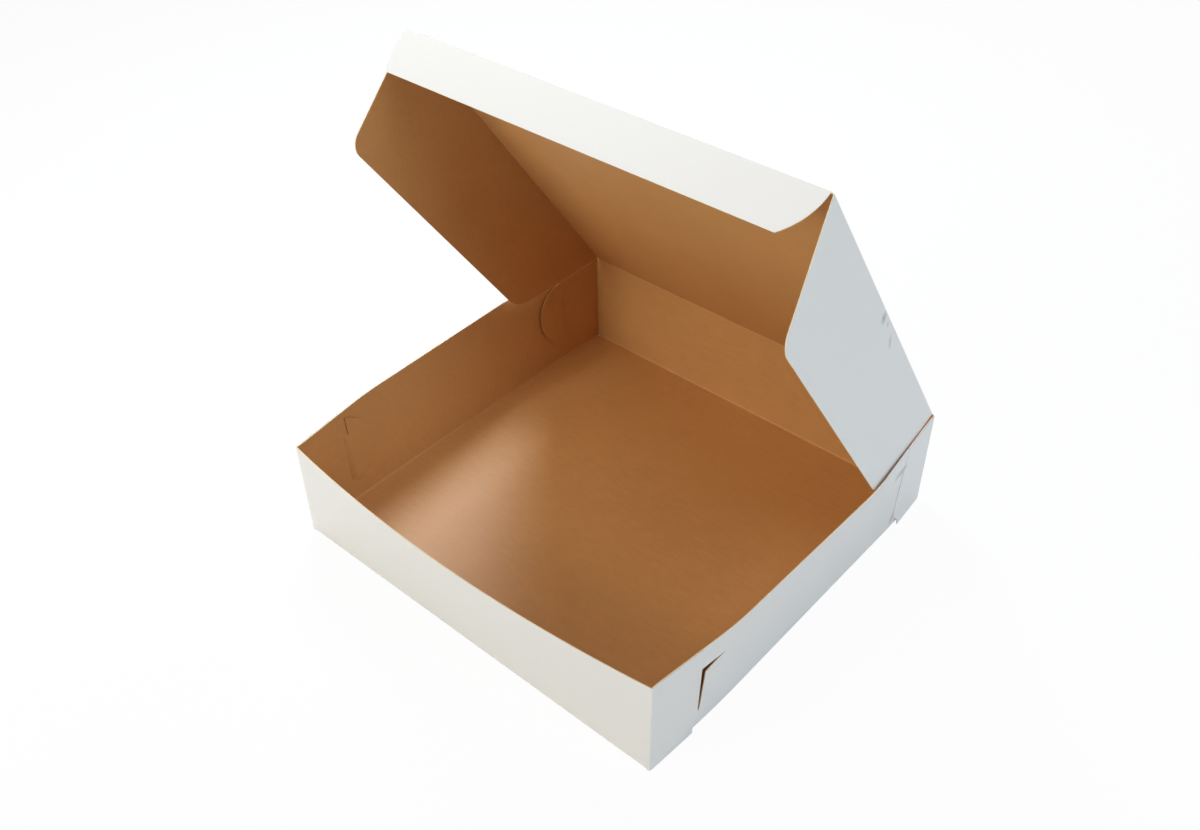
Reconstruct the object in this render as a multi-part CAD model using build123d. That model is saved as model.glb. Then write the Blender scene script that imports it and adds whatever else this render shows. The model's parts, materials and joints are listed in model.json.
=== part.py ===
from build123d import *
import math
import os

# Bakery box: one die-cut blank of coated kraft board, folded into a shallow tray with lock
# corners and a lid hinged on the back wall. The lid stands open. Sizes are in millimetres.
# The origin is the middle of the tray's underside, +Y is the back, where the lid hinges.

# Board
BOARD = 0.5
LAYER_GAP = 0.2          # air between two layers of board that lie on each other
FOLD_GAP = 0.08          # clearance at a fold that moves

# Tray
WIDTH = 254.0            # outside, between the side folds
DEPTH = 254.0            # outside, between the front and back folds
HEIGHT = 63.5
SIDE_FOLD_RADIUS = 2.8   # the side walls roll up out of the bottom
FRONT_BOW = 9.2          # how far the front rim bows out in its middle
CORNER_SPREAD = 0.2      # how far a rim stands out at a corner
FRONT_KINK = 56.0        # from the front of the tray to the kink in each side wall
BACK_KINK = 73.0         # from the back of the tray to the kink in each side wall
BULGE = {                # how far a side wall stands out at its front and back kink
    ("left", "fold"): (1.6, 1.6),
    ("left", "rim"): (8.2, 12.0),
    ("right", "fold"): (2.2, 1.6),
    ("right", "rim"): (7.2, 8.8),
}

# Lock corners
TAB_LENGTH = 33.5        # from the corner to the slit
FOOT_FLARE = 2.0         # how far a tab's bottom end stands off the side wall
FRONT_FOOT_STEP = 2.4    # a front tab is this much shorter at its foot
BACK_FOOT_STEP = 5.5
FRONT_FOOT_HEIGHT = 7.0
BACK_FOOT_HEIGHT = 3.5
SLIT_LOW = 12.0
SLIT_HIGH = 47.5
SLIT_REACH = 17.0        # the slit's level leg
FRONT_SLIT_MOUTH = 2.6   # a front slit's width at its bend
BACK_SLIT_MOUTH = 1.3
SLIT_TIP = 0.4
HEAD_RADIUS = 23.0
HEAD_HEIGHT = 36.0       # centre of the round head above the table
HEAD_SETBACK = 3.5       # the head's centre lies this far from the slit, towards the corner
HEAD_LEAN = 1.2          # how far the head's tip stands off the wall inside

# Lid
LID_ANGLE = 55.0         # open from closed
LID_LENGTH = 251.0       # hinge fold to front fold
LID_INSET = 1.0          # each side fold of the lid lies this far inside the tray's width
LID_BEVEL = 2.1          # the lid's inside is pressed away this far behind its front fold

# Flaps on the lid
SIDE_FLAP_DEPTH = 62.5
SIDE_FLAP_FLARE = 7.0    # how far the side flaps stand outward of square
SIDE_FLAP_FRONT_SLANT = 18.0
SIDE_FLAP_BACK_SLANT = 29.2
SIDE_FLAP_FRONT_START = 1.0
SIDE_FLAP_BACK_START = 1.0
SIDE_FLAP_FRONT_CORNER = 11.0
SIDE_FLAP_BACK_CORNER = 16.0
TUCK_FLAP_DEPTH = 25.4
TUCK_FLAP_ANGLE = 85.0   # folded down from flat
TUCK_FLAP_END_RADIUS = 35.0
TUCK_FLAP_INSET = 0.9    # each end of the tuck flap starts this far inside the lid's side fold

# Worked out from the sizes above
HALF_WIDTH = WIDTH / 2
HALF_DEPTH = DEPTH / 2
RIM = HEIGHT - LAYER_GAP / 2
HINGE_Y = HALF_DEPTH - BOARD / 2
HINGE_Z = HEIGHT + FOLD_GAP + BOARD / 2
LID_HALF_WIDTH = HALF_WIDTH - LID_INSET
FOLD_SETBACK = BOARD / 2 + FOLD_GAP
TAB_OFFSET = LAYER_GAP + BOARD
WALL_END = HALF_DEPTH - BOARD - LAYER_GAP
SLIT_Y = HALF_DEPTH - TAB_LENGTH
NECK_Y = SLIT_Y + BOARD
HEAD_INSET = 2 * BOARD + LAYER_GAP    # from a side wall's outside to the inner face of a head
THROUGH = WIDTH


def ruled_band(lower, upper, low, high):
    """A solid between two flat outlines with as many corners, at two heights."""
    wires = [
        Polyline([(x, y, z) for x, y in points], close=True).wire()
        for points, z in ((lower, low), (upper, high))
    ]
    return Solid.make_loft(wires, ruled=True)


def bulge(side, level, y):
    """How far a side wall stands out at its fold or its rim, at a place along it."""
    front, back = BULGE[side, level]
    places = wall_stations()
    bulges = [CORNER_SPREAD if level == "rim" else 0, front, back]
    bulges.append(bulges[0])
    k = min(sum(y > place for place in places[1:]), 2)
    share = (y - places[k]) / (places[k + 1] - places[k])
    return bulges[k] + share * (bulges[k + 1] - bulges[k])


def wall_stations():
    """Places along a side wall, front to back, between which it is straight."""
    return [-WALL_END, -HALF_DEPTH + FRONT_KINK, HALF_DEPTH - BACK_KINK, WALL_END]


def wall_outline(side, level):
    """Plan of a side wall at its fold or its rim."""
    sign = 1 if side == "right" else -1
    outer = [(HALF_WIDTH + bulge(side, level, y), y) for y in wall_stations()]
    inner = [(x - BOARD, y) for x, y in reversed(outer)]
    return [(sign * x, y) for x, y in outer + inner]


def side_wall(side):
    """A side wall that leans out to its kinked rim, with a slit near each end."""
    wall = ruled_band(
        wall_outline(side, "fold"), wall_outline(side, "rim"), SIDE_FOLD_RADIUS, RIM
    )
    for end in (-1, 1):
        wall -= lock_slit(end)
    return wall


def across(outline):
    """A cutter right across the tray, from an outline seen from the side."""
    face = make_face(Polyline([(-THROUGH, y, z) for y, z in outline], close=True))
    return extrude(face, amount=2 * THROUGH, dir=(1, 0, 0))


def lock_slit(end):
    """The slit in a side wall: an upright leg and a level one, widest at their bend."""
    near = NECK_Y + SLIT_TIP
    mouth = FRONT_SLIT_MOUTH if end < 0 else BACK_SLIT_MOUTH
    outline = [
        (near, SLIT_LOW),
        (near, SLIT_HIGH),
        (SLIT_Y - SLIT_REACH, SLIT_HIGH),
        (SLIT_Y - SLIT_REACH, SLIT_HIGH - SLIT_TIP),
        (near - mouth, SLIT_HIGH - mouth),
        (SLIT_Y - SLIT_TIP, SLIT_LOW),
    ]
    return across([(end * y, z) for y, z in outline])


def base_section(y):
    """Outline of the bottom and both rolled side folds, cut square across the tray."""
    radius = SIDE_FOLD_RADIUS
    inner = radius - BOARD
    left = -HALF_WIDTH - bulge("left", "fold", y)
    right = HALF_WIDTH + bulge("right", "fold", y)
    slope = math.sqrt(0.5)

    def at(x, z):
        return (x, y, z)

    def roll(x, toward, size):
        """A quarter turn between the flat bottom and a wall, outside or inside."""
        centre = x + toward * radius
        points = [
            at(centre, radius - size),
            at(centre - toward * size * slope, radius - size * slope),
            at(centre - toward * size, radius),
        ]
        return Edge.make_three_point_arc(*points)

    return Wire(
        [
            Edge.make_line(at(left + radius, 0), at(right - radius, 0)),
            roll(right, -1, radius),
            Edge.make_line(at(right, radius), at(right - BOARD, radius)),
            roll(right, -1, inner),
            Edge.make_line(at(right - radius, BOARD), at(left + radius, BOARD)),
            roll(left, 1, inner),
            Edge.make_line(at(left + BOARD, radius), at(left, radius)),
            roll(left, 1, radius),
        ]
    )


def base():
    """The bottom with the rolled lower part of both side walls."""
    places = wall_stations()
    places[0] = -HALF_DEPTH
    places[-1] = HALF_DEPTH
    return Solid.make_loft([base_section(y) for y in places], ruled=True)


def end_wall(end, bow):
    """The front or back wall, between the two corner folds, with its rim bowed out."""
    low = HALF_WIDTH + TAB_OFFSET
    high = low + CORNER_SPREAD
    face_y = end * HALF_DEPTH
    back_y = end * (HALF_DEPTH - BOARD)
    lower = Polyline(
        (-low, face_y, 0), (low, face_y, 0), (low, back_y, 0), (-low, back_y, 0), close=True
    )
    if not bow:
        upper = Polyline(
            (-high, face_y, HEIGHT),
            (high, face_y, HEIGHT),
            (high, back_y, HEIGHT),
            (-high, back_y, HEIGHT),
            close=True,
        )
        return Solid.make_loft([lower.wire(), upper.wire()], ruled=True)
    outer = ThreePointArc((-high, face_y, RIM), (0, face_y + end * bow, RIM), (high, face_y, RIM))
    inner = ThreePointArc((high, back_y, RIM), (0, back_y + end * bow, RIM), (-high, back_y, RIM))
    upper = Wire(
        [
            outer.edge(),
            Edge.make_line((high, face_y, RIM), (high, back_y, RIM)),
            inner.edge(),
            Edge.make_line((-high, back_y, RIM), (-high, face_y, RIM)),
        ]
    )
    return Solid.make_loft([lower.wire(), upper], ruled=True)


def mirrored(side, end, points):
    """Plan points drawn for the back right corner, put at any corner."""
    sign = 1 if side == "right" else -1
    return [(sign * x, end * y) for x, y in points]


def wall_face(side, end, level, y):
    """Where the outside of a side wall lies, y away from the middle towards one end."""
    return HALF_WIDTH + bulge(side, level, end * y)


def tab_faces(side, end):
    """Inner face of a tab at its foot and its rim, first at the corner, then at the slit."""
    foot = HALF_WIDTH + LAYER_GAP
    crown_end = wall_face(side, end, "rim", SLIT_Y) + LAYER_GAP
    return (foot, foot + FOOT_FLARE), (foot + CORNER_SPREAD, crown_end)


def lock_tab(side, end):
    """The part of a corner lock outside the side wall, from the corner fold to the slit."""
    outlines = []
    for corner, tip in tab_faces(side, end):
        inner = [(corner, HALF_DEPTH), (tip, SLIT_Y)]
        outer = [(tip + BOARD, SLIT_Y), (corner + BOARD, HALF_DEPTH)]
        outlines.append(mirrored(side, end, inner + outer))
    length, height = FRONT_FOOT_STEP, FRONT_FOOT_HEIGHT
    if end > 0:
        length, height = BACK_FOOT_STEP, BACK_FOOT_HEIGHT
    step_y = SLIT_Y + length
    step = [(SLIT_Y, 0), (step_y, 0), (step_y, height), (SLIT_Y, height + length)]
    return ruled_band(*outlines, 0, RIM) - across([(end * y, z) for y, z in step])


def lock_neck(side, end):
    """The narrow part of a corner lock that goes square through the slit."""
    outlines = []
    for level, (corner, tip) in zip(("fold", "rim"), tab_faces(side, end)):
        inside = wall_face(side, end, level, SLIT_Y) - HEAD_INSET
        outside = tip + BOARD
        outline = [(inside, SLIT_Y), (outside, SLIT_Y), (outside, NECK_Y), (inside, NECK_Y)]
        outlines.append(mirrored(side, end, outline))
    low = HEAD_HEIGHT - HEAD_RADIUS
    high = SLIT_HIGH - SLIT_TIP
    window = [(SLIT_Y, low), (NECK_Y, low), (NECK_Y, high), (SLIT_Y, high)]
    return ruled_band(*outlines, 0, RIM) & across([(end * y, z) for y, z in window])


def lock_head(side, end):
    """The round head of a corner lock, inside the side wall, its tip leaning into the box."""
    tip_y = SLIT_Y + HEAD_SETBACK - HEAD_RADIUS
    outlines = []
    for level in ("fold", "rim"):
        root = wall_face(side, end, level, SLIT_Y) - HEAD_INSET
        tip = wall_face(side, end, level, tip_y) - HEAD_INSET - HEAD_LEAN
        outline = [(root, NECK_Y), (tip, tip_y), (tip + BOARD, tip_y), (root + BOARD, NECK_Y)]
        outlines.append(mirrored(side, end, outline))
    disc = Pos(0, end * (SLIT_Y + HEAD_SETBACK), HEAD_HEIGHT) * Rot(0, 90, 0)
    disc *= Cylinder(HEAD_RADIUS, 2 * THROUGH)
    return ruled_band(*outlines, SIDE_FOLD_RADIUS, RIM) & disc


def corner_lock(side, end):
    """The tab that wraps round a corner, dives through the slit and ends in a round head."""
    return lock_tab(side, end) + lock_neck(side, end) + lock_head(side, end)


def tray():
    """Bottom, four walls and four lock corners: one folded sheet."""
    body = base()
    body += end_wall(-1, FRONT_BOW)
    body += end_wall(1, 0)
    for side in ("left", "right"):
        body += side_wall(side)
        for end in (-1, 1):
            body += corner_lock(side, end)
    return body


def lid_frame(shape):
    """Puts a shape drawn with the lid closed onto the open lid, about the hinge fold."""
    hinge = Axis((0, HINGE_Y, HINGE_Z), (-1, 0, 0))
    return shape.rotate(hinge, LID_ANGLE)


def fold_bead(start, end):
    """The rounded edge of board along a fold."""
    path = Line(start, end)
    section = Plane(origin=start, z_dir=path % 0) * Circle(BOARD / 2)
    return sweep(section, path)


def lid_panel():
    """The flat lid, from the hinge fold to its front fold, where its inside is pressed away."""
    half = LID_HALF_WIDTH - FOLD_SETBACK
    front = HINGE_Y - LID_LENGTH
    profile = [
        (HINGE_Y, HINGE_Z + BOARD / 2),
        (front + FOLD_SETBACK, HINGE_Z + BOARD / 2),
        (front + LID_BEVEL, HINGE_Z - BOARD / 2),
        (HINGE_Y, HINGE_Z - BOARD / 2),
    ]
    section = make_face(Polyline([(-half, y, z) for y, z in profile], close=True))
    panel = extrude(section, amount=2 * half, dir=(1, 0, 0))
    panel += fold_bead((-half, HINGE_Y, HINGE_Z), (half, HINGE_Y, HINGE_Z))
    return lid_frame(panel)


def side_flap_outline():
    """Side flap in its own plane: distance from the hinge, and depth down from the fold."""
    depth = SIDE_FLAP_DEPTH
    front = LID_LENGTH - SIDE_FLAP_FRONT_START
    back = SIDE_FLAP_BACK_START
    front_low = front - depth * math.tan(math.radians(SIDE_FLAP_FRONT_SLANT))
    back_low = back + depth * math.tan(math.radians(SIDE_FLAP_BACK_SLANT))
    return [(back, 0), (front, 0), (front_low, depth), (back_low, depth)]


def side_flap(side):
    """A deep flap on the lid's side fold, slanted at both ends, standing a little outward."""
    sign = 1 if side == "right" else -1
    fold_x = sign * LID_HALF_WIDTH
    points = [(fold_x, HINGE_Y - s, HINGE_Z - d) for s, d in side_flap_outline()]
    face = make_face(Polyline(points, close=True))
    flap = extrude(face, amount=BOARD / 2, dir=(1, 0, 0), both=True)
    for corner, radius in ((2, SIDE_FLAP_FRONT_CORNER), (3, SIDE_FLAP_BACK_CORNER)):
        edge = flap.edges().filter_by(Axis.X).sort_by_distance(points[corner])[0]
        flap = fillet(edge, radius)
    flap += fold_bead(points[0], points[1])
    fold = Axis((fold_x, 0, HINGE_Z), (0, 1, 0))
    return lid_frame(flap.rotate(fold, -sign * SIDE_FLAP_FLARE))


def front_tuck_flap():
    """The narrow flap on the lid's front fold, with its ends rounded off."""
    half = LID_HALF_WIDTH - TUCK_FLAP_INSET
    depth = TUCK_FLAP_DEPTH
    radius = TUCK_FLAP_END_RADIUS
    inset = radius - math.sqrt(radius**2 - depth**2)
    outline = (
        Line((-half, 0), (half, 0))
        + RadiusArc((half, 0), (half - inset, -depth), radius)
        + Line((half - inset, -depth), (-half + inset, -depth))
        + RadiusArc((-half + inset, -depth), (-half, 0), radius)
    )
    fold_y = HINGE_Y - LID_LENGTH
    flap = extrude(make_face(outline), amount=BOARD / 2, both=True)
    flap = Pos(0, fold_y, HINGE_Z) * flap
    flap += fold_bead((-half, fold_y, HINGE_Z), (half, fold_y, HINGE_Z))
    fold = Axis((0, fold_y, HINGE_Z), (1, 0, 0))
    return lid_frame(flap.rotate(fold, TUCK_FLAP_ANGLE))


NODES = {
    "tray": tray(),
    "lid_panel": lid_panel(),
    "front_tuck_flap": front_tuck_flap(),
    "left_lid_flap": side_flap("left"),
    "right_lid_flap": side_flap("right"),
}

os.makedirs("parts", exist_ok=True)
for name, shape in NODES.items():
    export_step(shape, f"parts/{name}.step")
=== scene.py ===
"""Bakery box of clay-coated kraft board: its boards, finishes and studio stage."""

import json
import math

import bpy
import numpy as np
from bpy.props import FloatProperty, FloatVectorProperty, PointerProperty
from mathutils import Matrix, Vector


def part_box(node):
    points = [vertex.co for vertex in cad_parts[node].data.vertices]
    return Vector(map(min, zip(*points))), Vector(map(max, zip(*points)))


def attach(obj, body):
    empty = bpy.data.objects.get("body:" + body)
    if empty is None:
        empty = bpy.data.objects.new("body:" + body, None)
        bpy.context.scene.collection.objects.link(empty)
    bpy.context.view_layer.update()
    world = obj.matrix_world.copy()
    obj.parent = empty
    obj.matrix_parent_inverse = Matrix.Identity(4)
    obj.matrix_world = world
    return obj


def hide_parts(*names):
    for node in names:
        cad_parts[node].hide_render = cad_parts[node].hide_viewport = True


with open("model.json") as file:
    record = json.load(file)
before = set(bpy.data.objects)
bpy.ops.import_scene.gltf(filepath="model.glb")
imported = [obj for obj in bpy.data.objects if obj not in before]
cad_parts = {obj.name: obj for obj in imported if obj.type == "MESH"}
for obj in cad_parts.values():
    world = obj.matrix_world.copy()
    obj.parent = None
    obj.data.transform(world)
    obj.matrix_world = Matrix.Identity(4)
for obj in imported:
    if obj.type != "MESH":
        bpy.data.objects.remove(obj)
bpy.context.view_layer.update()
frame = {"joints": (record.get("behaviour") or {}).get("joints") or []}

bl_info = {
    "name": "Bakery Box",
    "version": (1, 0, 0),
    "blender": (4, 5, 0),
    "location": "3D View > Sidebar > Bakery Box",
    "description": "Folds a lock-corner bakery box out of coated board and sets it on a stage",
    "category": "Add Mesh",
}

MM = 0.001


def turn_about(point, angle, axis):
    """A turn by an angle about an axis through a point."""
    return Matrix.Translation(point) @ Matrix.Rotation(angle, 4, axis) @ Matrix.Translation(-point)


# Joints of the frame, which fix the place and tilt of the lid and its flaps
JOINTS = {joint["name"]: joint for joint in frame["joints"]}
HINGE = Vector(JOINTS["lid_hinge"]["pos_m"])
TUCK_FOLD = Vector(JOINTS["tuck_flap_fold"]["pos_m"])
LID_HALF_WIDTH = JOINTS["right_flap_fold"]["pos_m"][0]
LID_LENGTH = (TUCK_FOLD - HINGE).length
LID_ANGLE = math.atan2(TUCK_FOLD.z - HINGE.z, HINGE.y - TUCK_FOLD.y)
LID_TURN = turn_about(HINGE, -LID_ANGLE, "X")

# Which way along X each side lies, and along Y each end
SIGNS = {"left": -1, "right": 1}
FRONT, BACK = -1, 1

# Gap between boards that lie on each other, and how far before its flaps' folds the lid ends
LAYER_GAP = 0.2 * MM
FOLD_SETBACK = 0.36 * MM

# Tray: its side walls end the wall setback before the outer faces of its end walls
HALF_WIDTH = 127.0 * MM
HALF_DEPTH = 127.0 * MM
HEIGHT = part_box("tray")[1].z
RIM = HEIGHT - LAYER_GAP / 2
SIDE_FOLD_RADIUS = 1.4 * MM
END_FOLD_RADIUS = 1.2 * MM
CORNER_RADIUS = 0.7 * MM
CORNER_SPREAD = 0.2 * MM
WALL_SETBACK = 0.7 * MM
BOTTOM_END = HALF_DEPTH - END_FOLD_RADIUS
WALL_END = HALF_DEPTH - WALL_SETBACK

# Each side wall has two kinks, measured here from the ends. It stands out this far at the front
# kink and at the back one, along its fold and along its rim.
FRONT_KINK = 56.0 * MM
BACK_KINK = 73.0 * MM
KINK_EASE = 9.0 * MM
BULGE = {
    ("left", "fold"): (1.6 * MM, 1.6 * MM),
    ("left", "rim"): (8.2 * MM, 12.0 * MM),
    ("right", "fold"): (2.2 * MM, 1.6 * MM),
    ("right", "rim"): (7.2 * MM, 8.8 * MM),
}

# Lock corners: a tab lies along the outside of the side wall as far as the slit. There its
# neck goes through the wall to a round head behind it.
SLIT_Y = 93.5 * MM
SLIT_LOW = 13.0 * MM
SLIT_HIGH = 47.5 * MM
SLIT_TIP = 0.4 * MM
SLIT_MARGIN = 4.0 * MM
NECK_GRIP = 0.05 * MM
FOOT_FLARE = 2.0 * MM
FRONT_TAB_GAP = 0.08 * MM
BACK_TAB_SINK = 0.3 * MM
BACK_FLARE_HEIGHT = 9.0 * MM
HEAD_RADIUS = 23.0 * MM
HEAD_HEIGHT = 36.0 * MM
HEAD_SETBACK = 3.5 * MM
HEAD_LEAN = 1.2 * MM

# What differs between the front and the back: the step at the tab's foot, and how long and how
# wide the slit is. Its upright leg is widest at its mouth, where the level leg starts.
ENDS = {
    FRONT: {
        "foot_step": 2.4 * MM,
        "foot_height": 7.0 * MM,
        "slit_reach": 17.0 * MM,
        "slit_mouth": (4.1 * MM, 4.8 * MM),
        "slit_foot": 3.1 * MM,
    },
    BACK: {
        "foot_step": 5.5 * MM,
        "foot_height": 3.5 * MM,
        "slit_reach": 12.0 * MM,
        "slit_mouth": (0.6 * MM, 0.6 * MM),
        "slit_foot": 0.3 * MM,
    },
}

# What differs between the corners: how far the neck slopes through its slit, how much of the
# slit's ends it grips, and how far the head bellies off the wall
LOCKS = {
    ("left", FRONT): {"slope": 3.4 * MM, "grip": 1.0 * MM, "belly": 0.0},
    ("right", FRONT): {"slope": 1.5 * MM, "grip": NECK_GRIP, "belly": 4.0 * MM},
    ("left", BACK): {"slope": 0.2 * MM, "grip": 1.0 * MM, "belly": 0.0},
    ("right", BACK): {"slope": 0.2 * MM, "grip": 1.0 * MM, "belly": 0.0},
}

# Lid: at its hinge it is as wide as the back wall, in front of that it leaves the flaps room
LID_EAR = 0.7 * MM
LID_EAR_SLOPE = 0.1 * MM

# Side flaps of the lid
SIDE_FLAP_DEPTH = 62.5 * MM
SIDE_FLAP_FLARE = math.radians(7)
SIDE_FLAP_FRONT_SLANT = math.radians(18)
SIDE_FLAP_BACK_SLANT = math.radians(29.2)
SIDE_FLAP_FRONT_START = 1.0 * MM
SIDE_FLAP_BACK_START = 1.0 * MM
SIDE_FLAP_FRONT_CORNER = 11.0 * MM
SIDE_FLAP_BACK_CORNER = 16.0 * MM

# Tuck flap
TUCK_DEPTH = 25.4 * MM
TUCK_ANGLE = math.radians(85)
TUCK_END_RADIUS = {"left": 50.0 * MM, "right": 35.0 * MM}
TUCK_INSET = 0.9 * MM

# How finely the sheets are divided
SHEET_COLUMNS = 44
SHEET_ROWS = 48
WALL_ROWS = 10
SIDE_FOLD_STEPS = 6
END_FOLD_STEPS = 4
TAB_COLUMNS = 7
NECK_ROWS = 7
CROWN_ROWS = 3
HEAD_COLUMNS = 10
TUCK_ROWS = 8
FLAP_STEP = 9.0 * MM
CORNER_SEGMENTS = 3
FLAP_CORNER_SEGMENTS = 10
SMOOTH_ANGLE = math.radians(30)

# How near to each other places count as one
WELD_DISTANCE = 0.02 * MM
CUT_THRESHOLD = 0.02 * MM
PLACE_TOLERANCE = 0.01 * MM

# Finishes, in the order of their slots
OUTSIDE, INSIDE, PULP = 0, 1, 2

# Where the tray shows another finish: how deep a face is in or behind a side wall, how near to
# a corner or to the back, and where the lid's flap begins to shade the right rim
BEHIND_WALL = 0.36 * MM
EDGE_DEPTH = 0.15 * MM
CORNER_SHARE = 1.0 * MM
BACK_RIM_SHARE = 4.0 * MM
RIM_SHADE_START = 68.0 * MM


def board_size(name, description, default, **limits):
    """A setting for a length of the board."""
    return FloatProperty(
        name=name, description=description, default=default, precision=4,
        subtype="DISTANCE", unit="LENGTH", **limits,
    )


def board_colour(name, description, default):
    """A setting for a colour of the board."""
    return FloatVectorProperty(
        name=name, description=description, default=default, subtype="COLOR", size=3,
        min=0, max=1,
    )


def lamp_power(name, description, power):
    """A setting for the power of a lamp."""
    return FloatProperty(
        name=name, description=description, default=power, min=0, subtype="POWER", unit="POWER"
    )


class BoxSizes(bpy.types.PropertyGroup):
    """Sizes of the board and of its bow that a user may change."""

    board: board_size("Board", "Thickness of the board", 0.5 * MM, min=0.3 * MM, max=0.6 * MM)
    front_bow: board_size("Front bow", "How far the front rim bows out in its middle", 9.2 * MM)


class BoxFinish(bpy.types.PropertyGroup):
    """Colours of the board."""

    clay: board_colour("Clay coat", "Colour of the white outside", (0.80, 0.785, 0.765))
    kraft: board_colour("Kraft", "Colour of the brown inside", (0.58, 0.30, 0.106))
    cut_edge: board_colour("Cut edge", "Colour of the board where it is cut", (0.82, 0.68, 0.48))


class StageSettings(bpy.types.PropertyGroup):
    """Light and camera."""

    front: lamp_power("Front light", "Power of the soft light before the box", 10.9)
    warm: lamp_power("Warm light", "Power of the warm soft light at the front left", 3.3)
    window: lamp_power("Window light", "Power of the cool light close by at the back left", 5.1)
    top: lamp_power("Top light", "Power of the soft light high on the right", 6.6)
    side: lamp_power("Side light", "Power of the cool low light on the right", 7.0)
    back: lamp_power("Back light", "Power of the soft light behind the box", 5.4)
    sky: FloatProperty(
        name="Sky",
        description="Strength of the even light from all round",
        default=0.1,
    )
    lens: FloatProperty(
        name="Lens",
        description="Focal length of the camera on a 36 mm sensor",
        default=37.605,
        subtype="DISTANCE_CAMERA",
        unit="CAMERA",
    )


class Socket:
    """An output socket, or a plain number, that can be used in an expression."""

    def __init__(self, tree, value):
        self.tree = tree
        self.value = value

    def node(self, kind, settings=None, **inputs):
        """Adds a node. Its settings are set first, then its sockets get values or links."""
        made = self.tree.nodes.new(kind)
        for name, setting in (settings or {}).items():
            setattr(made, name, setting)
        for name, value in inputs.items():
            self.feed(pick(made.inputs, name), value)
        return made

    def feed(self, target, value):
        """Links a socket, or sets a plain value, on an input socket."""
        if isinstance(value, Socket):
            value = value.value
        if isinstance(value, bpy.types.NodeSocket):
            self.tree.links.new(value, target)
        else:
            target.default_value = value

    def out(self, kind, output, settings=None, **inputs):
        """Adds a node and gives one of its outputs."""
        made = self.node(kind, settings, **inputs)
        return Socket(self.tree, pick(made.outputs, output))

    def math(self, operation, first, second, clamp=False):
        """Adds a Math node and gives its result."""
        made = self.node("ShaderNodeMath", {"operation": operation, "use_clamp": clamp})
        self.feed(made.inputs[0], first)
        self.feed(made.inputs[1], second)
        return Socket(self.tree, made.outputs[0])

    def __add__(self, other):
        return self.math("ADD", self, other)

    def __radd__(self, other):
        return self.math("ADD", other, self)

    def __sub__(self, other):
        return self.math("SUBTRACT", self, other)

    def __rsub__(self, other):
        return self.math("SUBTRACT", other, self)

    def __mul__(self, other):
        return self.math("MULTIPLY", self, other)

    def __rmul__(self, other):
        return self.math("MULTIPLY", other, self)

    def clamped(self):
        """The value, kept between 0 and 1."""
        return self.math("ADD", self, 0.0, clamp=True)


def pick(sockets, name):
    """The enabled socket with a name, where a space is written as an underscore."""
    wanted = name.replace("_", " ").lower()
    for socket in sockets:
        if socket.enabled and socket.name.lower() == wanted:
            return socket
    raise KeyError(f"no socket called {name}")


class Finish:
    """A procedural material with its shader, and the nodes that all of them use."""

    def __init__(self, name):
        self.material = bpy.data.materials.new(name)
        self.material.use_nodes = True
        self.tree = self.material.node_tree
        self.tree.nodes.clear()
        self.start = Socket(self.tree, 0.0)
        self.place = self.start.out("ShaderNodeTexCoord", "Object")

    def noise(self, scale, detail=2.0, roughness=0.5, stretch=(1, 1, 1)):
        """Noise in object space, its grain stretched along an axis where wanted."""
        mapped = self.start.out("ShaderNodeMapping", "Vector", Vector=self.place, Scale=stretch)
        return self.start.out(
            "ShaderNodeTexNoise", "Fac", Vector=mapped, Scale=scale, Detail=detail,
            Roughness=roughness,
        )

    def mix(self, factor, first, second):
        """A colour between two colours."""
        return self.start.out(
            "ShaderNodeMix", "Result", {"data_type": "RGBA"}, Factor=factor, A=first, B=second
        )

    def bump(self, height, distance, strength):
        """The surface's normal over a relief of a given height."""
        return self.start.out(
            "ShaderNodeBump", "Normal", Height=height, Distance=distance, Strength=strength
        )

    def spot(self, place, radii):
        """A soft spot round a place in object space: 1 in its middle, 0 past its radii."""
        scale = [1 / radius for radius in radii]
        offset = [-value * share for value, share in zip(place, scale)]
        mapped = self.start.out(
            "ShaderNodeMapping", "Vector", Vector=self.place, Location=offset, Scale=scale
        )
        away = self.start.out(
            "ShaderNodeVectorMath", "Value", {"operation": "LENGTH"}, Vector=mapped
        )
        return (1.0 - away).clamped()

    def shade(self, **inputs):
        """Ends the material in a principled shader."""
        shader = self.start.node("ShaderNodeBsdfPrincipled", **inputs)
        output = self.start.node("ShaderNodeOutputMaterial")
        self.tree.links.new(shader.outputs[0], output.inputs["Surface"])
        return self.material


def colour(values, gain):
    """A colour with its alpha, lightened or darkened by one factor."""
    return (*(min(value * gain, 1.0) for value in values), 1.0)


# Rubs on the white outside at the right, and painted shade: the first three spots are rubs on the
# right flap, the last two are painted shadows on the right wall, in the back slit's level leg and
# above the tab's foot step. Place and radii in metres, and strength
RUBS_AND_PAINTED_SHADE = (
    ((0.1266, 0.0447, 0.1755), (0.006, 0.0034, 0.0042), 0.9),
    ((0.1265, 0.0500, 0.1690), (0.006, 0.0016, 0.0020), 0.5),
    ((0.1270, 0.0548, 0.1559), (0.006, 0.0016, 0.0056), 0.7),
    ((0.1311, 0.0886, 0.0485), (0.006, 0.0095, 0.0030), 0.8),
    ((0.1289, 0.0925, 0.0085), (0.006, 0.0032, 0.0065), 0.6),
)


def swing(pattern, spread):
    """How far a noise moves a value up or down from its middle."""
    return (pattern - 0.5) * spread


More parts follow.
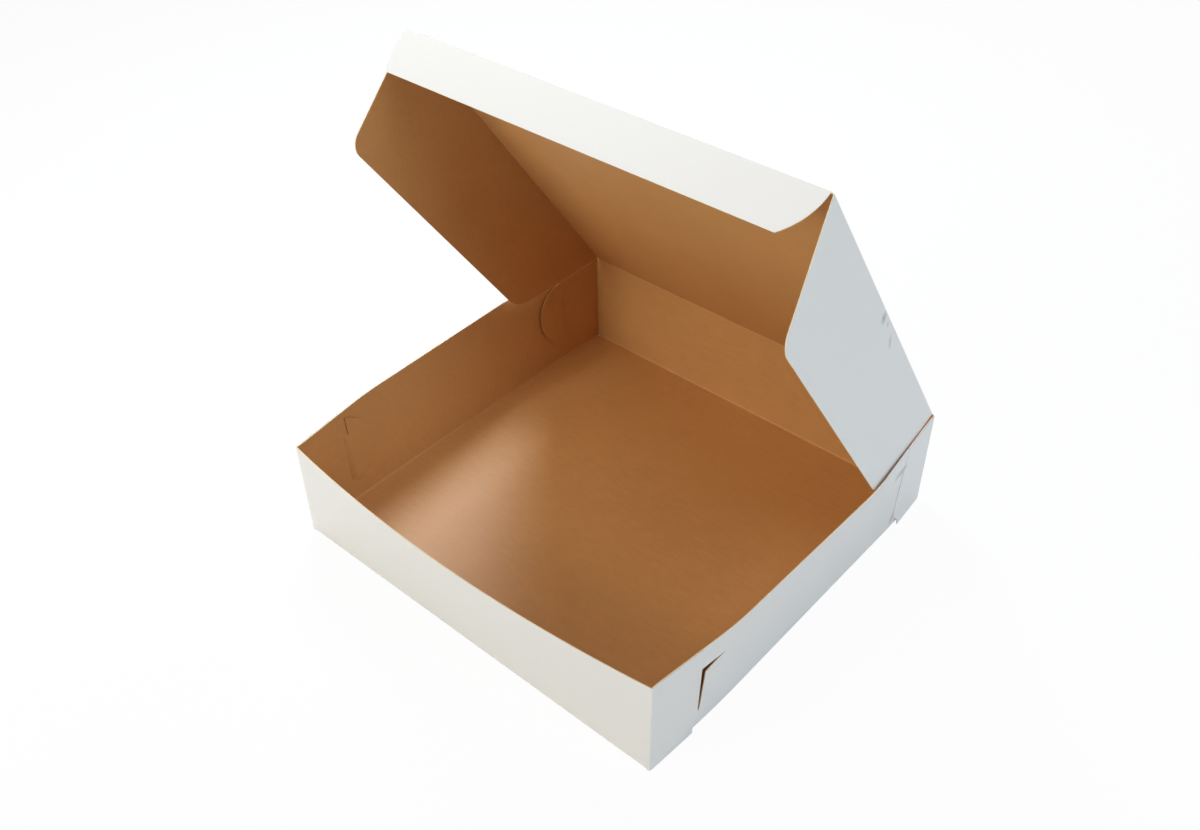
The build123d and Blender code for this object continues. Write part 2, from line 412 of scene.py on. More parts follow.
def clay_coat(shade):
    """The white outside: a smooth coat over board, faintly mottled, with a few rubs and two spots
    of painted shade.
    """
    coat = Finish("clay_coat")
    cloud = coat.noise(9.0, detail=3.0)
    fibres = coat.noise(900.0, detail=3.0, roughness=0.65, stretch=(1.0, 0.35, 1.0))
    tone = (swing(cloud, 0.5) + swing(fibres, 0.35) + 0.5).clamped()
    base = coat.mix(tone, colour(shade, gain=0.965), colour(shade, gain=1.03))
    grime_and_shade_noise = coat.noise(500.0, detail=3.0)
    # Darkens the coat at each spot: rubs on the right flap, and painted shadow on the right wall by
    # its back slit and above the tab's foot step
    for place, radii, strength in RUBS_AND_PAINTED_SHADE:
        rub_and_shade = (coat.spot(place, radii) * strength * (grime_and_shade_noise + 0.5)).clamped()
        base = coat.mix(rub_and_shade, base, colour(shade, gain=0.42))
    rough = 0.5 + swing(fibres, 0.12)
    relief = coat.bump(fibres + coat.noise(60.0) * 1.5, distance=0.05 * MM, strength=0.35)
    return coat.shade(Base_Color=base, Roughness=rough, Normal=relief, IOR=1.45)


# Dark specks in the kraft: they set in where the noise passes the start
SPECK_START = 0.72
SPECK_SHARPNESS = 14.0
SPECK_STRENGTH = 0.3


def kraft_face(shade):
    """The brown inside: uncoated kraft with fibres, cloudy patches and dark specks."""
    kraft = Finish("kraft_face")
    cloud = kraft.noise(14.0, detail=4.0, roughness=0.6)
    fibres = kraft.noise(420.0, detail=4.0, roughness=0.7, stretch=(0.25, 1.0, 1.0))
    speck = kraft.noise(700.0, detail=1.0)
    tone = (swing(cloud, 0.7) + swing(fibres, 0.8) + 0.5).clamped()
    base = kraft.mix(tone, colour(shade, gain=0.84), colour(shade, gain=1.14))
    specks = ((speck - SPECK_START) * SPECK_SHARPNESS).clamped() * SPECK_STRENGTH
    base = kraft.mix(specks, base, colour(shade, gain=0.45))
    relief = kraft.bump(fibres + cloud * 0.8, distance=0.09 * MM, strength=0.5)
    rough = 0.5 + swing(fibres, 0.2)
    return kraft.shade(Base_Color=base, Roughness=rough, Normal=relief, IOR=1.5)


def cut_edge(shade):
    """The raw edge of the board, with its pulp showing."""
    edge = Finish("cut_edge")
    pulp = edge.noise(1500.0, detail=2.0)
    base = edge.mix(pulp, colour(shade, gain=0.75), colour(shade, gain=1.3))
    relief = edge.bump(pulp, distance=0.05 * MM, strength=0.5)
    return edge.shade(Base_Color=base, Roughness=0.85, Normal=relief)


def board_materials():
    """The three finishes of the board: outside, inside and cut edge."""
    names = ("clay_coat", "kraft_face", "cut_edge")
    if not all(name in bpy.data.materials for name in names):
        finish = bpy.context.scene.bakery_box_finish
        clay_coat(finish.clay)
        kraft_face(finish.kraft)
        cut_edge(finish.cut_edge)
    return [bpy.data.materials[name] for name in names]


def steps(first, last, count):
    """Evenly spaced values from first to last, both included."""
    return [first + (last - first) * k / count for k in range(count + 1)]


def patch(columns):
    """Adds a grid primitive and puts its vertices on a list of columns of points."""
    bpy.ops.object.select_all(action="DESELECT")
    across = len(columns) - 1
    along = len(columns[0]) - 1
    bpy.ops.mesh.primitive_grid_add(x_subdivisions=across, y_subdivisions=along, size=1)
    piece = bpy.context.object
    for vertex in piece.data.vertices:
        column = round((vertex.co.x + 0.5) * across)
        row = round((vertex.co.y + 0.5) * along)
        vertex.co = columns[column][row]
    return piece


def edit(piece):
    """Makes a piece the only one selected and opens it in edit mode, with nothing picked."""
    bpy.ops.object.select_all(action="DESELECT")
    piece.select_set(True)
    bpy.context.view_layer.objects.active = piece
    bpy.ops.object.mode_set(mode="EDIT")
    bpy.ops.mesh.select_mode(type="VERT")
    bpy.ops.mesh.select_all(action="DESELECT")


def pick_edges(piece, wanted):
    """Selects the edges whose two ends both pass a test, in edge mode."""
    bpy.ops.mesh.select_mode(type="EDGE")
    bpy.ops.object.mode_set(mode="OBJECT")
    mesh = piece.data
    for line in mesh.edges:
        line.select = all(wanted(mesh.vertices[k].co) for k in line.vertices)
    bpy.ops.object.mode_set(mode="EDIT")


def pick_faces(piece, wanted):
    """Selects the faces whose middles pass a test, in face mode."""
    bpy.ops.mesh.select_mode(type="FACE")
    bpy.ops.mesh.select_all(action="DESELECT")
    bpy.ops.object.mode_set(mode="OBJECT")
    for face in piece.data.polygons:
        face.select = wanted(face.center)
    bpy.ops.object.mode_set(mode="EDIT")


def joined(name, pieces):
    """Joins patches into one sheet and welds the vertices that they share."""
    bpy.ops.object.select_all(action="DESELECT")
    for piece in pieces:
        piece.select_set(True)
    bpy.context.view_layer.objects.active = pieces[0]
    bpy.ops.object.join()
    sheet = bpy.context.object
    sheet.name = sheet.data.name = name
    edit(sheet)
    bpy.ops.mesh.select_all(action="SELECT")
    bpy.ops.mesh.remove_doubles(threshold=WELD_DISTANCE)
    bpy.ops.mesh.normals_make_consistent(inside=False)
    bpy.ops.object.mode_set(mode="OBJECT")
    return sheet


def face_outward(sheet, seen_from):
    """Turns all faces over where the face nearest to a point looks away from it."""
    nearest = min(sheet.data.polygons, key=lambda face: (face.center - seen_from).length)
    if nearest.normal.dot(seen_from - nearest.center) < 0:
        edit(sheet)
        bpy.ops.mesh.select_all(action="SELECT")
        bpy.ops.mesh.flip_normals()
        bpy.ops.object.mode_set(mode="OBJECT")


def apply_modifier(piece, kind, **settings):
    """Adds a modifier to the active piece and applies it."""
    bpy.context.view_layer.objects.active = piece
    modifier = piece.modifiers.new(kind.lower(), kind)
    for name, value in settings.items():
        setattr(modifier, name, value)
    bpy.ops.object.modifier_apply(modifier=modifier.name)


def thicken(sheet):
    """Gives a sheet the board's thickness behind its outer face, and its three finishes."""
    for material in board_materials():
        sheet.data.materials.append(material)
    apply_modifier(
        sheet,
        "SOLIDIFY",
        thickness=bpy.context.scene.bakery_box_sizes.board,
        offset=-1,
        use_even_offset=True,
        material_offset=INSIDE,
        material_offset_rim=PULP,
    )


def smooth(piece):
    """Smooths the shading over gentle bends."""
    bpy.ops.object.select_all(action="DESELECT")
    piece.select_set(True)
    bpy.context.view_layer.objects.active = piece
    bpy.ops.object.shade_smooth_by_angle(angle=SMOOTH_ANGLE)


def bulge(side, level, y):
    """How far a side wall stands out at its fold or its rim, eased at its kinks."""
    front, back = BULGE[side, level]
    places = [-HALF_DEPTH, -HALF_DEPTH + FRONT_KINK, HALF_DEPTH - BACK_KINK, HALF_DEPTH]
    stands = [0, front, back, 0]
    if level == "rim":
        stands[0] = stands[-1] = CORNER_SPREAD
    else:
        places.insert(3, SLIT_Y)
        stands.insert(3, back)
    samples = [y + KINK_EASE * share for share in (-1, -0.5, 0, 0.5, 1)]
    return float(np.mean(np.interp(samples, places, stands)))


def wall_x(side, y, z):
    """Distance of a side wall's outer face from the middle."""
    share = max(0, (z - SIDE_FOLD_RADIUS) / (RIM - SIDE_FOLD_RADIUS))
    fold = bulge(side, "fold", y)
    rim = bulge(side, "rim", y)
    return HALF_WIDTH + fold + (rim - fold) * share


def half_section(side, y):
    """The outer face of a side wall at y, from its rim round its fold to the flat bottom."""
    sign = SIGNS[side]
    wall_y = y * WALL_END / BOTTOM_END
    points = [
        Vector((sign * wall_x(side, wall_y, z), wall_y, z))
        for z in steps(RIM, SIDE_FOLD_RADIUS, WALL_ROWS)
    ]
    centre = wall_x(side, y, 0) - SIDE_FOLD_RADIUS
    for turn in steps(0, math.pi / 2, SIDE_FOLD_STEPS)[1:]:
        x = centre + SIDE_FOLD_RADIUS * math.cos(turn)
        points.append(Vector((sign * x, y, SIDE_FOLD_RADIUS * (1 - math.sin(turn)))))
    return points


def section(y):
    """The outer face of the bottom and both side walls at y, from rim to rim."""
    left = half_section("left", y)
    right = half_section("right", y)
    flat = [
        Vector((x, y, 0)) for x in steps(left[-1].x, right[-1].x, SHEET_COLUMNS)[1:-1]
    ]
    return left + flat + right[::-1]


def end_levels(end):
    """Heights of the rows of an end wall and its tabs: along the foot, the neck and the crown."""
    low = HEAD_HEIGHT - head_reach(SLIT_Y)
    top = SLIT_HIGH + NECK_GRIP
    foot = ENDS[end]["foot_height"]
    feet = [0, END_FOLD_RADIUS, foot, foot + ENDS[end]["foot_step"]]
    return feet, steps(low, top, NECK_ROWS), steps(top, RIM, CROWN_ROWS)[1:]


def head_reach(y):
    """Half the height of the round head at y, measured towards the end."""
    away = y - SLIT_Y - HEAD_SETBACK
    return math.sqrt(max(HEAD_RADIUS**2 - away**2, 0))


def end_face(x, z, bow):
    """Distance of an end wall's outer face from the middle, at a place on the wall."""
    if not bow:
        return HALF_DEPTH
    half = HALF_WIDTH + LAYER_GAP + bpy.context.scene.bakery_box_sizes.board + CORNER_SPREAD
    radius = (half**2 + bow**2) / (2 * bow)
    return HALF_DEPTH + z / RIM * (math.sqrt(radius**2 - x**2) - radius + bow)


def end_wall(end, bow):
    """The patch of an end wall, from the flat bottom round its fold up to its rim."""
    feet, neck, crown = end_levels(end)
    reach = HALF_WIDTH - SIDE_FOLD_RADIUS
    columns = []
    for x in steps(-reach, reach, SHEET_COLUMNS):
        column = []
        for turn in steps(0, math.pi / 2, END_FOLD_STEPS)[:-1]:
            z = END_FOLD_RADIUS * (1 - math.cos(turn))
            y = end_face(x, z, bow) - END_FOLD_RADIUS * (1 - math.sin(turn))
            column.append(Vector((x, end * y, z)))
        for z in feet[1:] + neck + crown:
            column.append(Vector((x, end * end_face(x, z, bow), z)))
        columns.append(column)
    return patch(columns)


def tab_x(side, end, y, z):
    """Distance of a tab's outer face from the middle."""
    board = bpy.context.scene.bakery_box_sizes.board
    share = (HALF_DEPTH - y) / (HALF_DEPTH - SLIT_Y)
    start = HALF_WIDTH + LAYER_GAP + CORNER_SPREAD
    if end == BACK:
        finish = wall_x(side, SLIT_Y, z) - BACK_TAB_SINK
        flare = FOOT_FLARE * share * max(1 - z / BACK_FLARE_HEIGHT, 0)
        return start + (finish - start) * share + flare + board
    foot = HALF_WIDTH + LAYER_GAP + FOOT_FLARE * share
    finish = wall_x(side, -SLIT_Y, RIM) + FRONT_TAB_GAP
    crown = start + (finish - start) * share
    return foot + (crown - foot) * z / RIM + board


def head_x(side, end, y, z):
    """Distance of a head's outer face from the middle, behind the side wall."""
    board = bpy.context.scene.bakery_box_sizes.board
    tip = SLIT_Y + HEAD_SETBACK - HEAD_RADIUS
    share = (SLIT_Y - y) / (SLIT_Y - tip)
    rise = math.sin(math.pi * (z - SLIT_LOW) / (RIM - SLIT_LOW))
    standoff = LAYER_GAP + LOCKS[side, end]["belly"] * max(rise, 0)
    root = wall_x(side, end * SLIT_Y, z) - standoff
    far = wall_x(side, end * tip, z) - max(LAYER_GAP + HEAD_LEAN, standoff)
    return root + (far - root) * share - board


def corner_lock(side, end, bow):
    """The patches of a lock corner: the end wall's last strip, tab, neck and round head."""
    sign = SIGNS[side]
    feet, neck, crown = end_levels(end)
    levels = feet + neck + crown
    reach = HALF_WIDTH - SIDE_FOLD_RADIUS

    def at(x, y, z):
        return Vector((sign * x, end * y, z))

    strip = [
        [at(x, end_face(x, z, bow), z) for z in levels]
        for x in (reach, (reach + HALF_WIDTH) / 2)
    ]
    step_y = SLIT_Y + ENDS[end]["foot_step"]
    for y in steps(HALF_DEPTH, step_y, TAB_COLUMNS):
        strip.append([at(tab_x(side, end, y, z), y, z) for z in levels])
    above_step = levels[2:]
    slanted = [above_step[1]] + above_step[1:]
    last = [
        [at(tab_x(side, end, step_y, z), step_y, z) for z in above_step],
        [at(tab_x(side, end, SLIT_Y, z), SLIT_Y, z) for z in slanted],
    ]
    root = SLIT_Y - LOCKS[side, end]["slope"]
    throat = [
        [at(tab_x(side, end, SLIT_Y, z), SLIT_Y, z) for z in neck],
        [at(head_x(side, end, root, z), root, z) for z in neck],
    ]
    over = steps(neck[-1], HEAD_HEIGHT + head_reach(SLIT_Y), CROWN_ROWS)[1:]
    head = []
    tip = SLIT_Y + HEAD_SETBACK - HEAD_RADIUS
    for turn in steps(0, math.pi / 2, HEAD_COLUMNS):
        y = root + (tip - root) * math.sin(turn)
        narrow = head_reach(y) / head_reach(root)
        heights = [HEAD_HEIGHT + (z - HEAD_HEIGHT) * narrow for z in neck + over]
        head.append([at(head_x(side, end, y, z), y, z) for z in heights])
    return [patch(strip), patch(last), patch(throat), patch(head)]


def slit_outline(side, end):
    """The slit's outline as seen from the side: an upright leg and a level one."""
    near = SLIT_Y + bpy.context.scene.bakery_box_sizes.board - NECK_GRIP
    grip = LOCKS[side, end]["grip"]
    low = HEAD_HEIGHT - head_reach(SLIT_Y) + grip
    top = SLIT_HIGH + NECK_GRIP - grip
    wide, high = ENDS[end]["slit_mouth"]
    tip = SLIT_Y - ENDS[end]["slit_reach"]
    return [
        (near, low),
        (near, top),
        (tip, top),
        (tip, top - SLIT_TIP),
        (SLIT_Y - wide, top - high),
        (SLIT_Y - ENDS[end]["slit_foot"], low),
    ]


def inside(outline, y, z):
    """Whether a place lies inside an outline, by counting the sides to one side of it."""
    crossings = 0
    for (y1, z1), (y2, z2) in zip(outline, outline[1:] + outline[:1]):
        if (z1 > z) != (z2 > z):
            crossings += y < y1 + (y2 - y1) * (z - z1) / (z2 - z1)
    return crossings % 2 == 1


def cut_slit(walls, side, end):
    """Scores the outline of a slit into a side wall and takes out what it encloses."""
    sign = SIGNS[side]
    outline = slit_outline(side, end)
    low_y, high_y = min(y for y, z in outline), max(y for y, z in outline)
    low_z, high_z = min(z for y, z in outline), max(z for y, z in outline)

    def around(place):
        return (
            sign * place.x > HALF_WIDTH - SIDE_FOLD_RADIUS
            and low_y - SLIT_MARGIN < end * place.y < high_y + SLIT_MARGIN
            and low_z - SLIT_MARGIN < place.z < high_z + SLIT_MARGIN
        )

    edit(walls)
    for (y1, z1), (y2, z2) in zip(outline, outline[1:] + outline[:1]):
        pick_faces(walls, around)
        across = Vector((0, z1 - z2, end * (y2 - y1))).normalized()
        bpy.ops.mesh.bisect(plane_co=(0, end * y1, z1), plane_no=across, threshold=CUT_THRESHOLD)
    pick_faces(walls, lambda place: around(place) and inside(outline, end * place.y, place.z))
    bpy.ops.mesh.delete(type="FACE")
    bpy.ops.object.mode_set(mode="OBJECT")


def shown_finish(place, given):
    """The finish that a face of the tray shows, by its place and the finish it was given.

    Behind the side walls by the slits all is brown, even the heads' white coat, as painted shade
    that keeps the open slits dark. Cut edges look like pulp along most of the rim and in the right
    front slit, and elsewhere like the brown or the white board beside them.
    """
    x, y, z = abs(place.x), place.y, place.z
    side = "right" if place.x > 0 else "left"
    wall = wall_x(side, y, z)
    near_corner = abs(y) > HALF_DEPTH - CORNER_SHARE
    below_rim = z < RIM - LAYER_GAP and not near_corner
    by_slits = below_rim and z > SLIT_LOW
    # Painted shade: faces behind a side wall, the heads' white outer faces too, get the darker
    # kraft finish
    if by_slits and x < wall - BEHIND_WALL:
        return INSIDE
    if given != PULP:
        return given
    back_rim = y > HALF_DEPTH - CORNER_SHARE
    left_back = side == "left" and y > HALF_DEPTH - BACK_RIM_SHARE
    left_slit = side == "left" and by_slits and x < wall - EDGE_DEPTH
    if back_rim or left_back or left_slit:
        return INSIDE
    under_flap = side == "right" and y > RIM_SHADE_START and z > RIM - LAYER_GAP
    right_back = side == "right" and y > 0 and below_rim
    if under_flap or right_back or (x > wall and not near_corner):
        return OUTSIDE
    return PULP


def tray_sheet():
    """Bottom and side walls as one sheet, with a slit near each end of each wall."""
    walls = patch([section(y) for y in steps(-BOTTOM_END, BOTTOM_END, SHEET_ROWS)])
    for side in SIGNS:
        for end in ENDS:
            cut_slit(walls, side, end)
    return walls


def on_lid(points):
    """Puts points drawn on the closed lid onto the open one."""
    return [LID_TURN @ point for point in points]


def finish_board(sheet, body, node):
    """Rides a board on its body, in place of its plain solid."""
    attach(sheet, body)
    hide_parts(node)


class BAKERYBOX_OT_tray(bpy.types.Operator):
    """Folds the tray: bottom, four walls and four lock corners."""

    bl_idname = "bakery_box.tray"
    bl_label = "Tray"

    def execute(self, context):
        sizes = context.scene.bakery_box_sizes
        walls = tray_sheet()
        pieces = [walls]
        for end, bow in ((FRONT, sizes.front_bow), (BACK, 0)):
            pieces.append(end_wall(end, bow))
            for side in SIGNS:
                pieces += corner_lock(side, end, bow)
        sheet = joined("tray_board", pieces)
        face_outward(sheet, Vector((0, -1, HEIGHT / 2)))
        corner = HALF_WIDTH + LAYER_GAP + sizes.board - PLACE_TOLERANCE
        edit(sheet)
        far = HALF_DEPTH - PLACE_TOLERANCE
        pick_edges(sheet, lambda place: abs(place.x) > corner and abs(place.y) > far)
        bpy.ops.mesh.bevel(offset=CORNER_RADIUS, segments=CORNER_SEGMENTS, affect="EDGES")
        bpy.ops.object.mode_set(mode="OBJECT")
        thicken(sheet)
        for face in sheet.data.polygons:
            face.material_index = shown_finish(face.center, face.material_index)
        smooth(sheet)
        finish_board(sheet, "tray", "tray")
        return {"FINISHED"}


class BAKERYBOX_OT_lid(bpy.types.Operator):
    """Makes the lid panel, from the hinge fold to its front fold."""

    bl_idname = "bakery_box.lid"
    bl_label = "Lid"

    def execute(self, context):
        board = context.scene.bakery_box_sizes.board
        half = LID_HALF_WIDTH - FOLD_SETBACK
        back = HINGE.y + board / 2
        front = HINGE.y - LID_LENGTH + FOLD_SETBACK
        top = HINGE.z + board / 2
        ear = HINGE.y - LID_EAR
        rows = [(y, half) for y in steps(front, back, SHEET_ROWS)[:-1]]
        rows += [(ear - LID_EAR_SLOPE, half), (ear, HALF_WIDTH), (back, HALF_WIDTH)]
        columns = [
            on_lid([Vector((across * reach, y, top)) for y, reach in rows])
            for across in steps(-1, 1, SHEET_COLUMNS)
        ]
        sheet = joined("lid_board", [patch(columns)])
        face_outward(sheet, LID_TURN @ Vector((0, 0, 1)))
        thicken(sheet)
        smooth(sheet)
        finish_board(sheet, "lid", "lid_panel")
        return {"FINISHED"}


class BAKERYBOX_OT_tuck_flap(bpy.types.Operator):
    """Makes the narrow flap on the lid's front fold, with round ends."""

    bl_idname = "bakery_box.tuck_flap"
    bl_label = "Tuck flap"

    def execute(self, context):
        board = context.scene.bakery_box_sizes.board
        half = LID_HALF_WIDTH - TUCK_INSET
        fold_y = HINGE.y - LID_LENGTH
        fold = Vector((0, fold_y, HINGE.z))
        turn = turn_about(fold, TUCK_ANGLE, "X")
        columns = []
        for across in steps(-1, 1, SHEET_COLUMNS):
            column = []
            for down in steps(-board / 2, TUCK_DEPTH, TUCK_ROWS):
                depth = max(down, 0)
                radius = TUCK_END_RADIUS["left" if across < 0 else "right"]
                inset = radius - math.sqrt(radius**2 - depth**2)
                point = Vector((across * (half - inset), fold_y - down, HINGE.z + board / 2))
                column.append(turn @ point)
            columns.append(on_lid(column))
        sheet = joined("tuck_flap_board", [patch(columns)])
        outside = LID_TURN @ turn @ Vector((0, fold_y - TUCK_DEPTH / 2, 1))
        face_outward(sheet, outside)
        thicken(sheet)
        smooth(sheet)
        finish_board(sheet, "tuck_flap", "front_tuck_flap")
        return {"FINISHED"}


class BAKERYBOX_OT_side_flaps(bpy.types.Operator):
    """Makes the two deep flaps on the lid's side folds."""

    bl_idname = "bakery_box.side_flaps"
    bl_label = "Side flaps"

    def execute(self, context):
        for side in SIGNS:
            sheet = self.flap(context, side)
            finish_board(sheet, f"{side}_flap", f"{side}_lid_flap")
        return {"FINISHED"}

    def flap(self, context, side):
        """One flap: a plane with slanted ends and rounded corners, turned onto the lid."""
        sign = SIGNS[side]
        board = context.scene.bakery_box_sizes.board
        front = LID_LENGTH - SIDE_FLAP_FRONT_START
        back = SIDE_FLAP_BACK_START
        depth = SIDE_FLAP_DEPTH
        outline = [
            (back, -board / 2),
            (front, -board / 2),
            (front - depth * math.tan(SIDE_FLAP_FRONT_SLANT), depth),
            (back + depth * math.tan(SIDE_FLAP_BACK_SLANT), depth),
        ]
        face_x = sign * (LID_HALF_WIDTH + board / 2)
        points = [Vector((face_x, HINGE.y - along, HINGE.z - down)) for along, down in outline]
        bpy.ops.object.select_all(action="DESELECT")
        bpy.ops.mesh.primitive_circle_add(vertices=4, fill_type="NGON")
        sheet = bpy.context.object
        sheet.name = sheet.data.name = f"{side}_flap_board"
        for vertex, point in zip(sheet.data.vertices, points):
            vertex.co = point
        self.round_corner(sheet, points[2], SIDE_FLAP_FRONT_CORNER)
        self.round_corner(sheet, points[3], SIDE_FLAP_BACK_CORNER)
        self.divide(sheet)
        fold = Vector((sign * LID_HALF_WIDTH, 0, HINGE.z))
        flare = turn_about(fold, -sign * SIDE_FLAP_FLARE, "Y")
        for vertex in sheet.data.vertices:
            vertex.co = LID_TURN @ (flare @ vertex.co)
        face_outward(sheet, LID_TURN @ Vector((sign, 0, HINGE.z)))
        thicken(sheet)
        smooth(sheet)
        return sheet

    def round_corner(self, sheet, corner, radius):
        """Rounds the corner of a flat sheet, so that the arc has the radius."""
        edit(sheet)
        bpy.ops.object.mode_set(mode="OBJECT")
        index = min(sheet.data.vertices, key=lambda v: (v.co - corner).length).index
        around = [
            sheet.data.vertices[other].co - corner
            for line in sheet.data.edges
            if index in line.vertices
            for other in line.vertices
            if other != index
        ]
        half_angle = around[0].angle(around[1]) / 2
        sheet.data.vertices[index].select = True
        bpy.ops.object.mode_set(mode="EDIT")
        bpy.ops.mesh.bevel(
            offset=radius / math.tan(half_angle), segments=FLAP_CORNER_SEGMENTS, affect="VERTICES"
        )
        bpy.ops.object.mode_set(mode="OBJECT")

    def divide(self, sheet):
        """Slices a flat sheet into strips both ways, for an even mesh."""
        edit(sheet)
        places = [vertex.co for vertex in sheet.data.vertices]
        for axis, normal in ((1, (0, 1, 0)), (2, (0, 0, 1))):
            low = min(place[axis] for place in places)
            high = max(place[axis] for place in places)
            count = int((high - low) / FLAP_STEP)
            for place in steps(low, high, count)[1:-1]:
                cut = Vector((0, 0, 0))
                cut[axis] = place
                bpy.ops.mesh.select_all(action="SELECT")
                bpy.ops.mesh.bisect(plane_co=cut, plane_no=normal)
        bpy.ops.object.mode_set(mode="OBJECT")


# Camera, at the view of the photograph
CAMERA_PLACE = Vector((346.621, -408.714, 521.475)) * MM
CAMERA_AZIMUTH = math.radians(41.434)
CAMERA_ELEVATION = math.radians(39.772)
CAMERA_ROLL = math.radians(-0.552)
SENSOR_WIDTH = 36

# Lamps: place, diameter and tint. All look at the target, over the middle of the tray.
LAMPS = {
    "front": ((-0.38, -1.40, 0.73), 0.8, (0.99, 1.0, 0.92)),
    "warm": ((-0.51, -0.89, 1.28), 0.8, (1.0, 0.75, 0.4)),
    "window": ((-0.50, 0.30, 0.68), 0.35, (0.80, 0.91, 1.0)),
    "top": ((0.59, -0.34, 1.50), 0.8, (0.83, 0.87, 1.0)),
    "side": ((1.55, 0.0, 0.44), 0.8, (0.81, 0.94, 1.0)),
    "back": ((0.0, 1.26, 1.04), 0.8, (1.0, 1.0, 1.0)),
}
LAMP_TARGET = Vector((0, 0, 0.05))

# Floor: it lies just under the tray. The glow is the share of plain white in what the camera
# sees of it.
FLOOR_SIZE = 12
FLOOR_DROP = 0.02 * MM
FLOOR_COLOUR = (0.86, 0.86, 0.86, 1)
FLOOR_GLOW = 0.94

# Colour of the surroundings and of the floor's glow
WHITE = (1, 1, 1, 1)


def soft_light(name, place, size, power, shade):
    """A round soft light that looks at the tray."""
    data = bpy.data.lights.new(name, "AREA")
    data.shape = "DISK"
    data.size = size
    data.energy = power
    data.color = shade
    lamp = bpy.data.objects.new(name, data)
    lamp.location = place
    lamp.rotation_euler = (Vector(place) - LAMP_TARGET).to_track_quat("Z", "Y").to_euler()
    bpy.context.scene.collection.objects.link(lamp)


def backdrop_world(strength):
    """Even light from all round, seen by the camera as plain white."""
    world = bpy.data.worlds.new("studio")
    world.use_nodes = True
    tree = world.node_tree
    tree.nodes.clear()
    start = Socket(tree, 0.0)
    path = start.node("ShaderNodeLightPath")
    seen = Socket(tree, path.outputs["Is Camera Ray"]) + Socket(tree, path.outputs["Is Glossy Ray"])
    level = strength + seen.clamped() * (1 - strength)
    light = start.node("ShaderNodeBackground", Color=WHITE, Strength=level)
    output = start.node("ShaderNodeOutputWorld")
    tree.links.new(light.outputs[0], output.inputs["Surface"])
    bpy.context.scene.world = world


def pale_floor():
    """A plain pale floor that takes a faint shadow and is nearly white to the camera."""
    bpy.ops.object.select_all(action="DESELECT")
    bpy.ops.mesh.primitive_plane_add(size=FLOOR_SIZE, location=(0, 0, -FLOOR_DROP))
    floor = bpy.context.object
    floor.name = "studio_floor"
    finish = Finish("studio_floor")
    start = finish.start
    matte = start.node("ShaderNodeBsdfDiffuse", Color=FLOOR_COLOUR)
    glow = start.node("ShaderNodeEmission", Color=WHITE, Strength=1.0)
    seen = start.out("ShaderNodeLightPath", "Is_Camera_Ray")
    mixed = start.node("ShaderNodeMixShader")
    start.feed(mixed.inputs[0], seen * FLOOR_GLOW)
    start.feed(mixed.inputs[1], Socket(finish.tree, matte.outputs[0]))
    start.feed(mixed.inputs[2], Socket(finish.tree, glow.outputs[0]))
    output = start.node("ShaderNodeOutputMaterial")
    finish.tree.links.new(mixed.outputs[0], output.inputs["Surface"])
    floor.data.materials.append(finish.material)


def photo_camera(lens):
    """The camera at the photographed view."""
    data = bpy.data.cameras.new("camera")
    data.sensor_fit = "HORIZONTAL"
    data.sensor_width = SENSOR_WIDTH
    data.lens = lens
    back = Vector((
        math.sin(CAMERA_AZIMUTH) * math.cos(CAMERA_ELEVATION),
        -math.cos(CAMERA_AZIMUTH) * math.cos(CAMERA_ELEVATION),
        math.sin(CAMERA_ELEVATION),
    ))
    right = Vector((0, 0, 1)).cross(back).normalized()
    up = back.cross(right)
    level = Matrix((right, up, back)).transposed()
    turn = level @ Matrix.Rotation(CAMERA_ROLL, 3, "Z")
    camera = bpy.data.objects.new("camera", data)
    camera.matrix_world = Matrix.Translation(CAMERA_PLACE) @ turn.to_4x4()
    bpy.context.scene.collection.objects.link(camera)
    bpy.context.scene.camera = camera


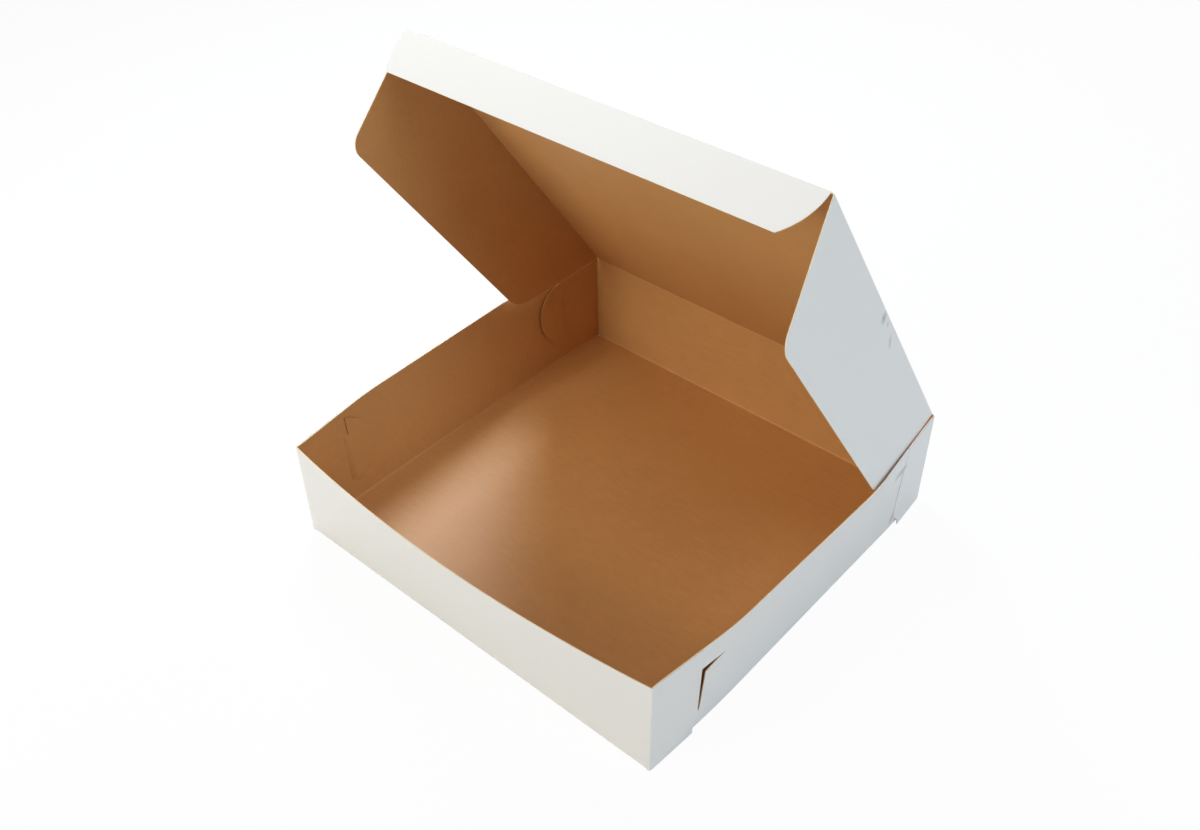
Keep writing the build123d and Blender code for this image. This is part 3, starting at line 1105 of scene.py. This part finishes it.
class BAKERYBOX_OT_stage(bpy.types.Operator):
    """Sets the floor, the lights, the white surroundings and the camera."""

    bl_idname = "bakery_box.stage"
    bl_label = "Stage"

    def execute(self, context):
        stage = context.scene.bakery_box_stage
        pale_floor()
        backdrop_world(stage.sky)
        for name, (place, size, shade) in LAMPS.items():
            soft_light(name, place, size, getattr(stage, name), shade)
        photo_camera(stage.lens)
        context.scene.view_settings.view_transform = "Standard"
        return {"FINISHED"}


class BAKERYBOX_PT_panel(bpy.types.Panel):
    """Lists the box's sizes, colours and steps."""

    bl_label = "Bakery Box"
    bl_idname = "BAKERYBOX_PT_panel"
    bl_space_type = "VIEW_3D"
    bl_region_type = "UI"
    bl_category = "Bakery Box"

    def draw(self, context):
        """Draws a box for each group of settings and a button for each step."""
        scene = context.scene
        for group in (scene.bakery_box_sizes, scene.bakery_box_finish, scene.bakery_box_stage):
            box = self.layout.box()
            for name in group.bl_rna.properties.keys():
                if name not in ("rna_type", "name"):
                    box.prop(group, name)
        for operator in OPERATORS:
            self.layout.operator(operator.bl_idname)


OPERATORS = (
    BAKERYBOX_OT_tray,
    BAKERYBOX_OT_lid,
    BAKERYBOX_OT_tuck_flap,
    BAKERYBOX_OT_side_flaps,
    BAKERYBOX_OT_stage,
)
CLASSES = (BoxSizes, BoxFinish, StageSettings, BAKERYBOX_PT_panel) + OPERATORS


def register():
    """Registers the classes and hangs their settings on the scene."""
    for item in CLASSES:
        bpy.utils.register_class(item)
    bpy.types.Scene.bakery_box_sizes = PointerProperty(type=BoxSizes)
    bpy.types.Scene.bakery_box_finish = PointerProperty(type=BoxFinish)
    bpy.types.Scene.bakery_box_stage = PointerProperty(type=StageSettings)


def unregister():
    """Takes the settings and the classes away again."""
    del bpy.types.Scene.bakery_box_stage
    del bpy.types.Scene.bakery_box_finish
    del bpy.types.Scene.bakery_box_sizes
    for item in reversed(CLASSES):
        bpy.utils.unregister_class(item)


def main():
    """Makes the box and its stage."""
    register()
    bpy.ops.bakery_box.tray()
    bpy.ops.bakery_box.lid()
    bpy.ops.bakery_box.tuck_flap()
    bpy.ops.bakery_box.side_flaps()
    bpy.ops.bakery_box.stage()


if __name__ == "__main__":
    main()
